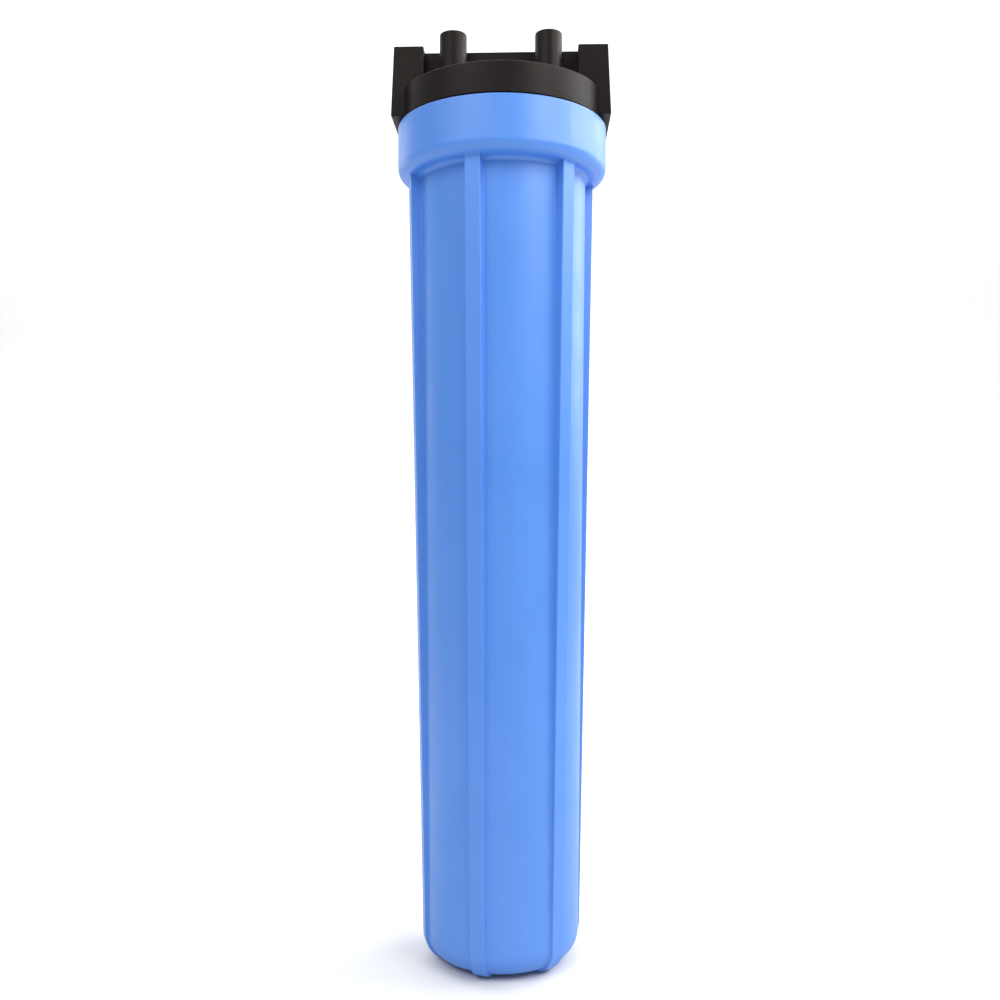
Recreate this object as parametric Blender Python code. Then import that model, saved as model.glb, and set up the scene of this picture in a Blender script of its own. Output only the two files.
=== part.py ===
"""Cartridge filter housing: a tall ribbed sump that screws up into a ported head, with its cartridge inside.

The origin is on the vertical axis, level with the undersides of the sump's feet. +Z points up and the
pipe ports lie on the X axis: the inlet at -X and the outlet at +X. Sizes are in metres.
"""

import math

import bmesh
import bpy
from mathutils import Matrix, Vector

# Clearances
TOUCH_GAP = 0.0003  # between pieces that rest on or are bonded to each other
THREAD_FIT = 0.0004  # radial, between the two thread forms
LAND_FIT = 0.0004  # radial, between the head's sealing land and the collar's bore
RIM_GAP = 0.001  # between the collar's rim and the head's flange

# Filter cartridge: two pleated modules end to end
CARTRIDGE_LENGTH = 0.504  # between its gasket faces, with the gaskets squeezed
CARTRIDGE_RADIUS = 0.03175
CORE_BORE_RADIUS = 0.014
CORE_WALL = 0.0025
CORE_COLUMNS = 6
CORE_ROWS = 4
CORE_BAR = 0.006
CORE_HOOP = 0.012
CAGE_WALL = 0.0009
CAGE_COLUMNS = 12
CAGE_ROWS = 3
CAGE_BAR = 0.004
CAGE_HOOP = 0.008
GASKET_THICKNESS = 0.003
END_CAP_FLOOR = 0.004
END_CAP_SKIRT = 0.006
END_CAP_WALL = 0.0012
PLEAT_COUNT = 28
PLEAT_FOLD_WIDTH = 0.0011  # width of a fold's flat tip
PLEAT_VALLEY_WALL = 0.0013  # between a valley and the bore

# Sump
BODY_TOP_RADIUS = 0.0522
BODY_LOW_RADIUS = 0.0477
BODY_WALL = 0.0042
BASE_WALL = 0.0045
BASE_CORNER = 0.016
SEAT_HEIGHT = 0.0064  # knife edge that bites into the lower gasket, above the floor
RIB_COUNT = 6
RIB_WIDTH = 0.0098
RIB_TOP_HEIGHT = 0.0063
FOOT_DROP = 0.0016  # the ribs wrap under the base by this much, as feet
FOOT_INNER_RADIUS = 0.024
RIB_START = math.radians(-15.5)  # from the front, towards +X
COLLAR_WALL = 0.0028  # outside the O-ring's groove
COLLAR_FLOOR = 0.0043  # from the ledge under the thread down to the collar's underside
COLLAR_ROUNDING = 0.0068
COLLAR_FILLET = 0.003
RIM_CHAMFER = 0.0008

# Thread between sump and head, right-handed
THREAD_LEAD = 0.0052
THREAD_TURNS = 2.0
THREAD_DEPTH = 0.0018
THREAD_BASE = 0.0029
THREAD_CREST = 0.0013
THREAD_SINK = 0.0006  # how far a ridge's foot is sunk into its wall
THREAD_FADE = math.radians(30)
THREAD_TOP = 0.0152  # centre of the top turn, below the flange
THREAD_MARGIN = 0.00075  # plain skirt below the last turn
LEDGE_GAP = 0.0016  # from the thread's last turn down to the ledge inside the collar

# Seal
O_RING_SECTION = 0.0042
GROOVE_SLACK = 0.001  # the groove is this much taller than the ring
GROOVE_TOP = 0.003  # below the rim

# Head
FLANGE_STEP = 0.0016  # the flange is this much smaller than the collar
FLANGE_HEIGHT = 0.0183
SKIRT_WALL = 0.005
LAND_STEP = 0.0016  # the sealing land stands this far outside the thread's crest
LAND_DEPTH = 0.0121
CEILING_LEVEL = 0.009  # inner ceiling above the flange's underside
KNIFE_HALF_WIDTH = 0.002
KNIFE_TIP = 0.0004
KNIFE_RADIUS = 0.0195
SPIGOT_RADIUS = 0.0126
SPIGOT_LENGTH = 0.010
SPIGOT_BORE = 0.009
DUCT_HALF_WIDTH = 0.016
BLOCK_HALF_WIDTH = 0.025
BLOCK_DEPTH = 0.020
BLOCK_REACH = 0.0035  # the port face stands this far outside the flange
BLOCK_DRAFT = 0.0019
BLOCK_LIFT = 0.0008
BLOCK_HEIGHT = 0.0423
DUCT_DROP = 0.0004  # the duct's top, below the blocks' tops
PORT_RADIUS = 0.0133
PORT_TAPER = 0.0006
PORT_DEPTH = 0.018
PASSAGE_RADIUS = 0.0095
PASSAGE_OVERRUN = 0.8  # of the bore's radius, past its axis
INLET_DROP_MARGIN = 0.0016  # from the inlet's drop hole to the cartridge and to the skirt
BOSS_X = 0.029
BOSS_Y = 0.0222
BOSS_RADIUS = 0.0082
BOSS_DRAFT = 0.0002
BOSS_RISE = 0.0072  # above the blocks
PILOT_RADIUS = 0.0022
PILOT_DEPTH = 0.018
GUSSET_THICKNESS = 0.003
GUSSET_RISE = 0.0095  # above the flange, where it meets the duct

# Facets of the turned shapes
ROUND = 48
SMALL_ROUND = 24
HOLE_ROUND = 12
CORNER_STEPS = 5

# Radii that follow from those above
skirt_inner = BODY_TOP_RADIUS - BODY_WALL + RIM_GAP
male_root = skirt_inner + SKIRT_WALL
male_crest = male_root + THREAD_DEPTH
female_crest = male_root + THREAD_FIT
female_root = male_crest + THREAD_FIT
land_radius = male_crest + LAND_STEP
land_bore = land_radius + LAND_FIT
o_ring_centre = land_radius + TOUCH_GAP + O_RING_SECTION / 2
groove_radius = o_ring_centre + O_RING_SECTION / 2 + TOUCH_GAP
collar_radius = groove_radius + COLLAR_WALL
flange_radius = collar_radius - FLANGE_STEP
inlet_drop_x = -(CARTRIDGE_RADIUS + skirt_inner) / 2
inlet_drop_radius = (skirt_inner - CARTRIDGE_RADIUS) / 2 - INLET_DROP_MARGIN

# Heights
floor_z = FOOT_DROP + BASE_WALL
seat_z = floor_z + SEAT_HEIGHT
cartridge_z = seat_z + TOUCH_GAP
head_z = cartridge_z + CARTRIDGE_LENGTH + TOUCH_GAP
rim_z = head_z - RIM_GAP
thread_travel = THREAD_TURNS * THREAD_LEAD
thread_top_z = head_z - THREAD_TOP + THREAD_BASE / 2
ledge_z = thread_top_z - thread_travel - THREAD_BASE - LEDGE_GAP
collar_under_z = ledge_z - COLLAR_FLOOR
skirt_depth = THREAD_TOP + thread_travel + THREAD_BASE / 2 + THREAD_MARGIN
groove_height = O_RING_SECTION + GROOVE_SLACK
block_top = BLOCK_LIFT + BLOCK_HEIGHT
port_level = BLOCK_LIFT + BLOCK_HEIGHT / 2


def clear_scene():
    for item in list(bpy.data.objects):
        bpy.data.objects.remove(item, do_unlink=True)


def make_material(name, color, roughness, metallic=0.0):
    material = bpy.data.materials.new(name)
    material.use_nodes = True
    shader = material.node_tree.nodes["Principled BSDF"]
    shader.inputs["Base Color"].default_value = (*color, 1.0)
    shader.inputs["Roughness"].default_value = roughness
    shader.inputs["Metallic"].default_value = metallic
    return material


def make_empty(name, parent=None, z=0.0):
    empty = bpy.data.objects.new(name, None)
    empty.location = (0, 0, z)
    empty.parent = parent
    bpy.context.scene.collection.objects.link(empty)
    return empty


def mesh_from(name, shape):
    bmesh.ops.recalc_face_normals(shape, faces=shape.faces)
    mesh = bpy.data.meshes.new(name)
    shape.to_mesh(mesh)
    shape.free()
    mesh.shade_smooth()
    mesh.set_sharp_from_angle(angle=math.radians(32))
    return mesh


def place(name, mesh, parent, z=0.0, material=None):
    """Links an object for the mesh, at this height above its parent."""
    part = bpy.data.objects.new(name, mesh)
    part.location = (0, 0, z)
    part.parent = parent
    if material:
        mesh.materials.clear()
        mesh.materials.append(material)
    bpy.context.scene.collection.objects.link(part)
    return part


def arc(centre, radius, start, end, steps=CORNER_STEPS):
    """Points of an arc in the (radius, height) plane, both ends included. Angles are in degrees."""
    angles = [math.radians(start + (end - start) * i / steps) for i in range(steps + 1)]
    return [(centre[0] + radius * math.cos(a), centre[1] + radius * math.sin(a)) for a in angles]


def turned(name, profile, segments=ROUND):
    """A profile of (radius, height) points spun round Z. An open one starts and ends on the axis."""
    shape = bmesh.new()
    corners = [shape.verts.new((r, 0, z)) for r, z in profile]
    pairs = list(zip(corners, corners[1:]))
    if profile[0][0] > 0:
        pairs.append((corners[-1], corners[0]))
    edges = [shape.edges.new(pair) for pair in pairs]
    bmesh.ops.spin(
        shape,
        geom=corners + edges,
        cent=(0, 0, 0),
        axis=(0, 0, 1),
        angle=2 * math.pi,
        steps=segments,
        use_merge=True,
    )
    bmesh.ops.remove_doubles(shape, verts=shape.verts, dist=1e-6)
    return mesh_from(name, shape)


def slab(shape, outline, thickness, turn):
    """Adds an outline of (radius, height) points as a slab of this thickness, turned round Z to face a way."""
    corners = [shape.verts.new((r, -thickness / 2, z)) for r, z in outline]
    face = shape.faces.new(corners)
    grown = bmesh.ops.extrude_face_region(shape, geom=[face])["geom"]
    moved = [item for item in grown if isinstance(item, bmesh.types.BMVert)]
    bmesh.ops.translate(shape, verts=moved, vec=(0, thickness, 0))
    bmesh.ops.rotate(shape, verts=corners + moved, cent=(0, 0, 0), matrix=Matrix.Rotation(turn, 3, "Z"))


def block(shape, low, high, top_inset=0.0):
    """Adds a box between two corners. top_inset draws the top's outer X side in by that much."""
    size = Vector(high) - Vector(low)
    middle = (Vector(high) + Vector(low)) / 2
    matrix = Matrix.Translation(middle) @ Matrix.Diagonal((*size, 1))
    corners = bmesh.ops.create_cube(shape, size=1, matrix=matrix)["verts"]
    outward = math.copysign(1, middle.x)
    for corner in corners:
        if corner.co.z > middle.z and (corner.co.x - middle.x) * outward > 0:
            corner.co.x -= outward * top_inset


def rod(shape, start, end, start_radius, end_radius, segments=SMALL_ROUND):
    """Adds a round bar or cone from one point to another."""
    start, end = Vector(start), Vector(end)
    way = end - start
    turn = Vector((0, 0, 1)).rotation_difference(way).to_matrix().to_4x4()
    bmesh.ops.create_cone(
        shape,
        cap_ends=True,
        segments=segments,
        radius1=start_radius,
        radius2=end_radius,
        depth=way.length,
        matrix=Matrix.Translation((start + end) / 2) @ turn,
    )


def helical_ridge(name, root, crest, first_z):
    """One thread ridge, right-handed, that fades into its wall at both ends."""
    shape = bmesh.new()
    outward = math.copysign(1, crest - root)
    steps = round(ROUND * THREAD_TURNS)
    sweep = 2 * math.pi * THREAD_TURNS
    rows = []
    for i in range(steps + 1):
        angle = sweep * i / steps
        fade = min(1.0, angle / THREAD_FADE, (sweep - angle) / THREAD_FADE)
        height = (crest - root) * fade - outward * THREAD_SINK * 0.5 * (1 - fade)
        z = first_z + THREAD_LEAD * angle / (2 * math.pi)
        section = (
            (root - outward * THREAD_SINK, -THREAD_BASE / 2),
            (root + height, -THREAD_CREST / 2),
            (root + height, THREAD_CREST / 2),
            (root - outward * THREAD_SINK, THREAD_BASE / 2),
        )
        rows.append([shape.verts.new((r * math.cos(angle), r * math.sin(angle), z + h)) for r, h in section])
    for row, following in zip(rows, rows[1:]):
        for k in range(4):
            shape.faces.new((row[k], row[(k + 1) % 4], following[(k + 1) % 4], following[k]))
    shape.faces.new(rows[0])
    shape.faces.new(rows[-1])
    return mesh_from(name, shape)


def combine(part, tool_mesh, operation):
    """Joins a hidden tool to the part, or cuts it away, with a Boolean that is then applied."""
    tool = place(tool_mesh.name, tool_mesh, part)
    tool.hide_render = True
    tool.display_type = "WIRE"
    cut = part.modifiers.new(operation.lower(), "BOOLEAN")
    cut.operation = operation
    cut.solver = "EXACT"
    cut.object = tool
    bpy.context.view_layer.update()
    result = bpy.data.meshes.new_from_object(part.evaluated_get(bpy.context.evaluated_depsgraph_get()))
    old = part.data
    part.modifiers.clear()
    part.data = result
    bpy.data.objects.remove(tool, do_unlink=True)
    result.name = part.name
    bpy.data.meshes.remove(old)


def combine_shape(part, operation, build):
    """Lets build() fill a new bmesh, then joins or cuts with it."""
    shape = bmesh.new()
    build(shape)
    combine(part, mesh_from(part.name + "_tool", shape), operation)


def gasket_knife(floor, tip):
    """The three-cornered ring that bites into a gasket, from its outer foot to its inner one."""
    return [
        (KNIFE_RADIUS + KNIFE_HALF_WIDTH, floor),
        (KNIFE_RADIUS + KNIFE_TIP, tip),
        (KNIFE_RADIUS - KNIFE_TIP, tip),
        (KNIFE_RADIUS - KNIFE_HALF_WIDTH, floor),
    ]


def sump_outside():
    """The sump's outer side, from the centre of the base up to the rim."""
    corner = (BODY_LOW_RADIUS - BASE_CORNER, FOOT_DROP + BASE_CORNER)
    side_end = collar_under_z + COLLAR_ROUNDING
    fillet = (BODY_TOP_RADIUS + COLLAR_FILLET, collar_under_z - COLLAR_FILLET)
    return [
        (0, FOOT_DROP),
        *arc(corner, BASE_CORNER, -90, 0),
        *arc(fillet, COLLAR_FILLET, 180, 90, 2),
        *arc((collar_radius - COLLAR_ROUNDING, side_end), COLLAR_ROUNDING, -90, 0),
        (collar_radius, rim_z - RIM_CHAMFER),
        (collar_radius - RIM_CHAMFER, rim_z),
    ]


def sump_inside():
    """The sump's inner side, from the rim down through groove and thread bore to the seat's centre."""
    top_inner = BODY_TOP_RADIUS - BODY_WALL
    inner_corner = BASE_CORNER - BODY_WALL
    centre = (BODY_LOW_RADIUS - BASE_CORNER, floor_z + inner_corner)
    groove_low = rim_z - GROOVE_TOP - groove_height
    return [
        (land_bore + RIM_CHAMFER, rim_z),
        (land_bore, rim_z - RIM_CHAMFER),
        (land_bore, rim_z - GROOVE_TOP),
        (groove_radius, rim_z - GROOVE_TOP),
        (groove_radius, groove_low),
        (land_bore, groove_low),
        (land_bore, thread_top_z + THREAD_FIT),
        (female_root, thread_top_z - THREAD_FIT),
        (female_root, ledge_z),
        (top_inner, ledge_z - (female_root - top_inner) / 2),
        *arc(centre, inner_corner, 0, -90),
        *gasket_knife(floor_z, seat_z),
        (SPIGOT_RADIUS, floor_z),
        (SPIGOT_RADIUS, seat_z + SPIGOT_LENGTH - RIM_CHAMFER),
        (SPIGOT_RADIUS - RIM_CHAMFER, seat_z + SPIGOT_LENGTH),
        (SPIGOT_BORE, seat_z + SPIGOT_LENGTH),
        (SPIGOT_BORE, floor_z),
        (0, floor_z),
    ]


def rib_outline():
    """One rib's side view: down the body, round the base corner, and in under the base as a foot."""
    centre = (BODY_LOW_RADIUS - BASE_CORNER, FOOT_DROP + BASE_CORNER)
    top = collar_under_z + COLLAR_ROUNDING / 2
    sunk = BODY_WALL / 2
    inner_low = FOOT_DROP + sunk
    return [
        (BODY_TOP_RADIUS - sunk, top),
        *arc(centre, BASE_CORNER - sunk, 0, -90),
        (FOOT_INNER_RADIUS, inner_low),
        (FOOT_INNER_RADIUS, 0),
        *arc(centre, BASE_CORNER + FOOT_DROP, -90, 0),
        (BODY_TOP_RADIUS + RIB_TOP_HEIGHT, top),
    ]


def add_ribs(shape):
    front = -math.pi / 2
    for i in range(RIB_COUNT):
        slab(shape, rib_outline(), RIB_WIDTH, front + RIB_START + 2 * math.pi * i / RIB_COUNT)


def make_sump(parent, material):
    part = place("sump", turned("sump", sump_outside() + sump_inside()), parent, material=material)
    combine_shape(part, "UNION", add_ribs)
    # The sump's ridge runs half a lead from the head's, so it starts half a turn on at the same height.
    first = head_z - THREAD_TOP - thread_travel
    ridge = helical_ridge("sump_thread", female_root, female_crest, first)
    ridge.transform(Matrix.Rotation(math.pi, 4, "Z"))
    combine(part, ridge, "UNION")
    return part


def head_profile():
    """The head's turned core, from the top's centre out, down the skirt, and in under the ceiling."""
    edge = RIM_CHAMFER
    return [
        (0, FLANGE_HEIGHT),
        (flange_radius - edge, FLANGE_HEIGHT),
        (flange_radius, FLANGE_HEIGHT - edge),
        (flange_radius, edge / 2),
        (flange_radius - edge / 2, 0),
        (land_radius, 0),
        (land_radius, edge - LAND_DEPTH),
        (land_radius - edge, -LAND_DEPTH),
        (male_root, -LAND_DEPTH),
        (male_root, edge - skirt_depth),
        (male_root - edge, -skirt_depth),
        (skirt_inner, -skirt_depth),
        (skirt_inner, CEILING_LEVEL),
        *gasket_knife(CEILING_LEVEL, 0),
        (SPIGOT_RADIUS, CEILING_LEVEL),
        (SPIGOT_RADIUS, edge - SPIGOT_LENGTH),
        (SPIGOT_RADIUS - edge, -SPIGOT_LENGTH),
        (0, -SPIGOT_LENGTH),
    ]


def add_duct(shape):
    reach = flange_radius + BLOCK_REACH - BLOCK_DEPTH / 2
    low = (-reach, -DUCT_HALF_WIDTH, FLANGE_HEIGHT / 2 + CEILING_LEVEL / 2)
    block(shape, low, (reach, DUCT_HALF_WIDTH, block_top - DUCT_DROP))


def add_port_block(shape, side):
    outer = flange_radius + BLOCK_REACH
    ends = sorted((side * outer, side * (outer - BLOCK_DEPTH)))
    low = (ends[0], -BLOCK_HALF_WIDTH, BLOCK_LIFT)
    block(shape, low, (ends[1], BLOCK_HALF_WIDTH, block_top), BLOCK_DRAFT)


def boss_places():
    return [(x, y) for x in (-BOSS_X, BOSS_X) for y in (-BOSS_Y, BOSS_Y)]


def add_bosses(shape):
    top = block_top + BOSS_RISE
    foot = (FLANGE_HEIGHT + CEILING_LEVEL) / 2
    for x, y in boss_places():
        rod(shape, (x, y, foot), (x, y, top), BOSS_RADIUS + BOSS_DRAFT, BOSS_RADIUS)


def add_gussets(shape):
    """A low gusset stiffens the flange between the bosses, in front of the duct and behind it."""
    foot = (FLANGE_HEIGHT + CEILING_LEVEL) / 2
    outer = flange_radius - GUSSET_THICKNESS
    inner = DUCT_HALF_WIDTH - GUSSET_THICKNESS
    outline = [
        (inner, foot),
        (outer, foot),
        (outer, FLANGE_HEIGHT + RIM_CHAMFER),
        (inner, FLANGE_HEIGHT + GUSSET_RISE),
    ]
    for turn in (-math.pi / 2, math.pi / 2):
        slab(shape, outline, GUSSET_THICKNESS, turn)


def add_port_socket(shape, side):
    outer = side * (flange_radius + BLOCK_REACH)
    clear = side * PORT_TAPER
    end = outer - side * PORT_DEPTH
    rod(shape, (outer + clear, 0, port_level), (end, 0, port_level), PORT_RADIUS, PORT_RADIUS - PORT_TAPER)


def add_inlet_passage(shape):
    start = -(flange_radius + BLOCK_REACH - PORT_DEPTH) - PORT_TAPER
    end = inlet_drop_x + inlet_drop_radius
    rod(shape, (start, 0, port_level), (end, 0, port_level), PASSAGE_RADIUS, PASSAGE_RADIUS)


def add_inlet_drop(shape):
    top = (inlet_drop_x, 0, port_level)
    foot = (inlet_drop_x, 0, CEILING_LEVEL - RIM_GAP)
    rod(shape, top, foot, inlet_drop_radius, inlet_drop_radius)


def add_outlet_passage(shape):
    start = flange_radius + BLOCK_REACH - PORT_DEPTH + PORT_TAPER
    end = -SPIGOT_BORE * PASSAGE_OVERRUN
    rod(shape, (start, 0, port_level), (end, 0, port_level), PASSAGE_RADIUS, PASSAGE_RADIUS)


def add_outlet_bore(shape):
    rod(shape, (0, 0, port_level), (0, 0, -SPIGOT_LENGTH - RIM_GAP), SPIGOT_BORE, SPIGOT_BORE)


def add_pilot_holes(shape):
    top = block_top + BOSS_RISE
    for x, y in boss_places():
        rod(shape, (x, y, top + RIM_GAP), (x, y, top - PILOT_DEPTH), PILOT_RADIUS, PILOT_RADIUS, HOLE_ROUND)


def make_head(parent, material):
    part = place("head_cap", turned("head_cap", head_profile()), parent, head_z, material)
    combine_shape(part, "UNION", add_duct)
    for side in (-1, 1):
        combine_shape(part, "UNION", lambda shape, side=side: add_port_block(shape, side))
    combine_shape(part, "UNION", add_bosses)
    combine_shape(part, "UNION", add_gussets)
    first = -THREAD_TOP - thread_travel
    combine(part, helical_ridge("head_thread", male_root, male_crest, first), "UNION")
    for side in (-1, 1):
        combine_shape(part, "DIFFERENCE", lambda shape, side=side: add_port_socket(shape, side))
    for cut in (add_inlet_passage, add_inlet_drop, add_outlet_passage, add_outlet_bore, add_pilot_holes):
        combine_shape(part, "DIFFERENCE", cut)
    return part


def tube(name, inner, outer, height, segments=SMALL_ROUND):
    return turned(name, [(inner, 0), (outer, 0), (outer, height), (inner, height)], segments)


def windowed_tube(name, inner, outer, height, columns, rows, bar, hoop):
    """A tube with rows of windows between upright bars and hoops. Two facets go to each column."""
    shape = bmesh.new()
    step = 2 * math.pi / columns
    angles = [step * i + turn for i in range(columns) for turn in (0, bar / outer)]
    pitch = (height - hoop) / rows
    levels = [pitch * i + rise for i in range(rows + 1) for rise in (0, hoop)]
    grid = {}
    for i, angle in enumerate(angles):
        for j, z in enumerate(levels):
            for side, r in ((0, inner), (1, outer)):
                grid[i, j, side] = shape.verts.new((r * math.cos(angle), r * math.sin(angle), z))
    count = len(angles)
    for i in range(count):
        after = (i + 1) % count
        for j in range(len(levels) - 1):
            corners = [(i, j), (after, j), (after, j + 1), (i, j + 1)]
            if i % 2 and j % 2:
                for a, b in zip(corners, corners[1:] + corners[:1]):
                    shape.faces.new((grid[*a, 0], grid[*b, 0], grid[*b, 1], grid[*a, 1]))
            else:
                for side in (0, 1):
                    shape.faces.new([grid[*corner, side] for corner in corners])
        for j in (0, len(levels) - 1):
            shape.faces.new((grid[i, j, 0], grid[after, j, 0], grid[after, j, 1], grid[i, j, 1]))
    return mesh_from(name, shape)


def pleat_pack(name, inner, outer, height):
    """A star of folds round a bore: a fold's tip is flat, and so is the valley beside it."""
    shape = bmesh.new()
    valley = inner + PLEAT_VALLEY_WALL
    step = 2 * math.pi / PLEAT_COUNT
    rows = [[], [], [], []]
    for i in range(PLEAT_COUNT):
        for r, half in ((outer, PLEAT_FOLD_WIDTH / 2), (valley, PLEAT_FOLD_WIDTH / 2)):
            middle = step * (i + (0 if r == outer else 0.5))
            for side in (-1, 1):
                angle = middle + side * half / r
                for row, radius, z in zip(rows, (r, r, inner, inner), (0, height, height, 0)):
                    row.append(shape.verts.new((radius * math.cos(angle), radius * math.sin(angle), z)))
    count = len(rows[0])
    for i in range(count):
        after = (i + 1) % count
        for row, following in zip(rows, rows[1:] + rows[:1]):
            shape.faces.new((row[i], row[after], following[after], following[i]))
    return mesh_from(name, shape)


def cup_profile(bore, floor, skirts):
    """An end cap's or joiner's section. skirts are how far its wall reaches below its floor and above it."""
    outer = CARTRIDGE_RADIUS
    inner = outer - END_CAP_WALL
    low, high = skirts
    points = [(bore, 0)]
    points += [(inner, 0), (inner, -low), (outer, -low)] if low else [(outer, 0)]
    points += [(outer, floor + high), (inner, floor + high), (inner, floor)] if high else [(outer, floor)]
    return points + [(bore, floor)]


def make_cartridge(parent, colours):
    """Gasket, end cap, module, joiner, module, end cap, gasket, from the bottom up."""
    cap_inner = CARTRIDGE_RADIUS - END_CAP_WALL
    cage_outer = cap_inner * math.cos(math.pi / SMALL_ROUND) - TOUCH_GAP
    cage_inner = cage_outer - CAGE_WALL
    core_outer = CORE_BORE_RADIUS + CORE_WALL
    ends = 2 * (GASKET_THICKNESS + TOUCH_GAP + END_CAP_FLOOR)
    module = (CARTRIDGE_LENGTH - ends - END_CAP_FLOOR - 4 * TOUCH_GAP) / 2
    window_half = math.pi / CAGE_COLUMNS - CAGE_BAR / cage_outer / 2
    pack_outer = cage_inner * math.cos(window_half) - TOUCH_GAP

    gasket = tube("gasket", CORE_BORE_RADIUS, CARTRIDGE_RADIUS - TOUCH_GAP, GASKET_THICKNESS)
    core = windowed_tube(
        "core", CORE_BORE_RADIUS, core_outer, module, CORE_COLUMNS, CORE_ROWS, CORE_BAR, CORE_HOOP
    )
    cage = windowed_tube(
        "cage", cage_inner, cage_outer, module, CAGE_COLUMNS, CAGE_ROWS, CAGE_BAR, CAGE_HOOP
    )
    pack = pleat_pack("pleats", core_outer + TOUCH_GAP, pack_outer, module)
    cups = []
    for name, skirts in (("bottom_cap", (0, 1)), ("top_cap", (1, 0)), ("joiner", (1, 1))):
        heights = [END_CAP_SKIRT * skirt for skirt in skirts]
        cups.append(turned(name, cup_profile(CORE_BORE_RADIUS, END_CAP_FLOOR, heights), SMALL_ROUND))
    bottom_cap, top_cap, joiner = cups

    z = 0.0
    place("bottom_gasket", gasket, parent, z, colours["gasket"])
    z += GASKET_THICKNESS + TOUCH_GAP
    place("bottom_end_cap", bottom_cap, parent, z, colours["end_cap"])
    z += END_CAP_FLOOR + TOUCH_GAP
    for level in ("lower", "upper"):
        place(level + "_core", core, parent, z, colours["core"])
        place(level + "_pleat_pack", pack, parent, z, colours["pleats"])
        place(level + "_cage", cage, parent, z, colours["cage"])
        z += module + TOUCH_GAP
        if level == "lower":
            place("cartridge_joiner", joiner, parent, z, colours["end_cap"])
            z += END_CAP_FLOOR + TOUCH_GAP
    place("top_end_cap", top_cap, parent, z, colours["end_cap"])
    z += END_CAP_FLOOR + TOUCH_GAP
    place("top_gasket", gasket, parent, z, colours["gasket"])


def make_o_ring(parent, material):
    section = arc((o_ring_centre, 0), O_RING_SECTION / 2, 0, 315, 7)
    z = rim_z - GROOVE_TOP - groove_height / 2
    place("sump_o_ring", turned("sump_o_ring", section), parent, z, material)


def main():
    clear_scene()
    black = make_material("head_black", (0.018, 0.017, 0.017), 0.45)
    blue = make_material("sump_blue", (0.13, 0.34, 0.80), 0.38)
    rubber = make_material("seal_rubber", (0.015, 0.015, 0.015), 0.6)
    colours = {
        "gasket": make_material("gasket_foam", (0.75, 0.74, 0.70), 0.8),
        "end_cap": make_material("end_cap_white", (0.82, 0.83, 0.84), 0.5),
        "core": make_material("core_white", (0.85, 0.86, 0.86), 0.45),
        "cage": make_material("cage_white", (0.80, 0.82, 0.84), 0.5),
        "pleats": make_material("pleat_polyester", (0.78, 0.80, 0.80), 0.9),
    }
    head = make_empty("head_axis")
    cartridge = make_empty("cartridge_axis", head, cartridge_z)
    screw = make_empty("sump_axis", cartridge, -cartridge_z)
    make_head(head, black)
    make_sump(screw, blue)
    make_o_ring(screw, rubber)
    make_cartridge(cartridge, colours)


main()
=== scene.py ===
"""Looks of the cartridge filter housing: blue ribbed sump, black ported head, seals and cartridge."""

import math

import bmesh
import bpy
from mathutils import Matrix, Vector


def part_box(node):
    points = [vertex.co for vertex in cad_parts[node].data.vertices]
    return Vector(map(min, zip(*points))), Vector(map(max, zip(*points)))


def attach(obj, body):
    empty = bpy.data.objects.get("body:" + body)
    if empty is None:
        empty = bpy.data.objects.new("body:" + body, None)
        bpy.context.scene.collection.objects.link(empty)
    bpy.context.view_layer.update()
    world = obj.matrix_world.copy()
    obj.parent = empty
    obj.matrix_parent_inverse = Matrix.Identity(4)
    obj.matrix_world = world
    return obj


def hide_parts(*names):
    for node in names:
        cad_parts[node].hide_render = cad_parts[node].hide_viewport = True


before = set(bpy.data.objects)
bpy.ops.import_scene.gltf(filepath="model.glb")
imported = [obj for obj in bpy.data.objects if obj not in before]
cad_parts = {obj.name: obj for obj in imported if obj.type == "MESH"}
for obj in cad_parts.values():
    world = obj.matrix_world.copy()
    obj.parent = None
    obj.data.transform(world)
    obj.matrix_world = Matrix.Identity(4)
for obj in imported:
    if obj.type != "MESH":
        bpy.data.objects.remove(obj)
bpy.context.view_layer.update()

# ---------------------------------------------------------------- sizes, in metres, as in the CAD
# Heights in the head are above HEAD_Z, the underside of its flange.
RIM_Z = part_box("sump")[1][2]
TOUCH_GAP = 0.0003  # between pieces that rest on each other
HEAD_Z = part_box("top_gasket")[1][2] + TOUCH_GAP
FULL_TURN = 2 * math.pi

# Sump: body, ribs, collar
BODY_TOP_R = 0.0522
BODY_LOW_R = 0.0477
BODY_WALL = 0.0042
CORNER_R = 0.016  # outside, between base and side
FOOT_DROP = 0.0016  # the base stands this high on the ribs' ends
FOOT_INNER_R = 0.024
FLOOR_Z = 0.0061  # inside
RIBS = 6
RIB_START = -math.pi / 2 + math.radians(-15.5)
RIB_HALF = 0.0049
RIB_TOP_HEIGHT = 0.0063  # above the body's wall
RIB_TOP_Z = 0.48755
RIB_EDGE = 0.0006  # rounding along the crest
RIB_FILLET = 0.0006  # along the foot
RIB_DRAFT = 0.00012
RIB_FLARE = 0.0009  # the crest flares out by this much under the collar
RIB_FLARE_RISE = 0.0011
PARTING_ANGLE = -19  # of the fine line round the base's corner, in degrees
PARTING_DEPTH = 0.00022
COLLAR_R = 0.065
COLLAR_UNDER = 0.48415
COLLAR_ROUND = 0.0068
COLLAR_FILLET = 0.003
LEDGE_Z = 0.48845  # inside, under the thread
GROOVE_R = 0.0622
GROOVE_TOP = 0.003  # below the rim
GROOVE_HEIGHT = 0.0052
LAND_BORE = 0.0578

# Seats for the cartridge, in sump and head alike
SEAT_HEIGHT = 0.0064
KNIFE_R = 0.0195
SPIGOT_R = 0.0126
SPIGOT_BORE = 0.009
SPIGOT_LENGTH = 0.010

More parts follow.
